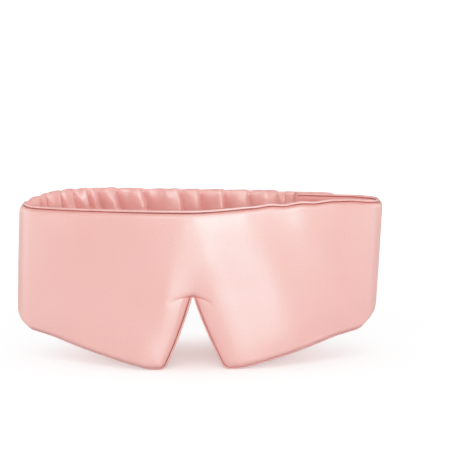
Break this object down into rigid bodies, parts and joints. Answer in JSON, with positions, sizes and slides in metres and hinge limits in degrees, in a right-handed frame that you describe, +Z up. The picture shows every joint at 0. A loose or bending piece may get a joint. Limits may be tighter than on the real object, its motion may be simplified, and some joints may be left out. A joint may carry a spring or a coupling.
{
  "type": "sleep eye mask",
  "caption": "Padded satin wrap-around sleep mask with a nose notch, a ruched elastic back strap and a hook-and-loop closing tab.",
  "frame": {"origin": "middle of the head opening, level with the surface the two tips beside the nose notch rest on", "axes": "-Y is the way the front faces, +X is to the right seen from the front and +Z is up, along the wearer's head"},
  "size_m": [0.25, 0.082, 0.11],
  "materials": {
    "rose_satin": "satin",
    "satin_lining": "satin",
    "satin_piping": "satin",
    "wadding": "matte",
    "blackout_cloth": "matte",
    "elastic_webbing": "matte",
    "interlining": "matte",
    "hook_tape": "matte",
    "loop_tape": "matte",
    "sewing_thread": "satin"
  },
  "bodies": {
    "front_left": {"outer_satin_left": "rose_satin", "lining_satin_left": "satin_lining", "wadding_left": "wadding", "blackout_layer_left": "blackout_cloth", "top_piping_left": "satin_piping", "lower_piping_left": "satin_piping"},
    "front_right": {"outer_satin_right": "rose_satin", "lining_satin_right": "satin_lining", "wadding_right": "wadding", "blackout_layer_right": "blackout_cloth", "top_piping_right": "satin_piping", "lower_piping_right": "satin_piping"},
    "strap_left": {"sleeve_outer_left": "rose_satin", "sleeve_inner_left": "rose_satin", "elastic_band_left": "elastic_webbing"},
    "strap_right": {"sleeve_outer_right": "rose_satin", "sleeve_inner_right": "rose_satin", "elastic_band_right": "elastic_webbing"},
    "tab_root": {"tab_root_satin": "rose_satin", "tab_root_stitches": "sewing_thread"},
    "closing_tab": {"tab_outer_satin": "rose_satin", "tab_inner_satin": "rose_satin", "tab_interlining": "interlining", "hook_tape": "hook_tape", "hook_tape_stitches": "sewing_thread"},
    "loop_end": {"loop_end_outer_satin": "rose_satin", "loop_end_lining": "satin_lining", "loop_end_wadding": "wadding", "loop_end_top_piping": "satin_piping", "loop_end_lower_piping": "satin_piping", "loop_tape": "loop_tape", "loop_tape_stitches": "sewing_thread"}
  },
  "joints": [
    {"name": "nose_fold", "type": "hinge", "parent": "front_left", "child": "front_right", "pos_m": [0, -0.027, 0], "axis": [0, 0, 1], "range_deg": [-20, 70]},
    {"name": "left_side_fold", "type": "hinge", "parent": "front_left", "child": "strap_left", "pos_m": [-0.125, 0.007, 0], "axis": [0, 0, 1], "range_deg": [-20, 70]},
    {"name": "right_side_fold", "type": "hinge", "parent": "front_right", "child": "loop_end", "pos_m": [0.125, 0.007, 0], "axis": [0, 0, 1], "range_deg": [-70, 20]},
    {"name": "back_fold", "type": "hinge", "parent": "strap_left", "child": "strap_right", "pos_m": [0, 0.041, 0], "axis": [0, 0, 1], "range_deg": [-70, 20]},
    {"name": "strap_stretch", "type": "slide", "parent": "strap_right", "child": "tab_root", "axis": [0.9789, -0.2045, 0], "range_m": [0, 0.015], "stiffness_N_per_m": 60},
    {"name": "tab_peel", "type": "hinge", "parent": "tab_root", "child": "closing_tab", "pos_m": [0.0682, 0.04308, 0], "axis": [0, 0, 1], "range_deg": [0, 110]}
  ],
  "couplings": [
    {"joint": "left_side_fold", "follows": "nose_fold", "ratio": 1},
    {"joint": "right_side_fold", "follows": "nose_fold", "ratio": -1},
    {"joint": "back_fold", "follows": "nose_fold", "ratio": -1}
  ]
}
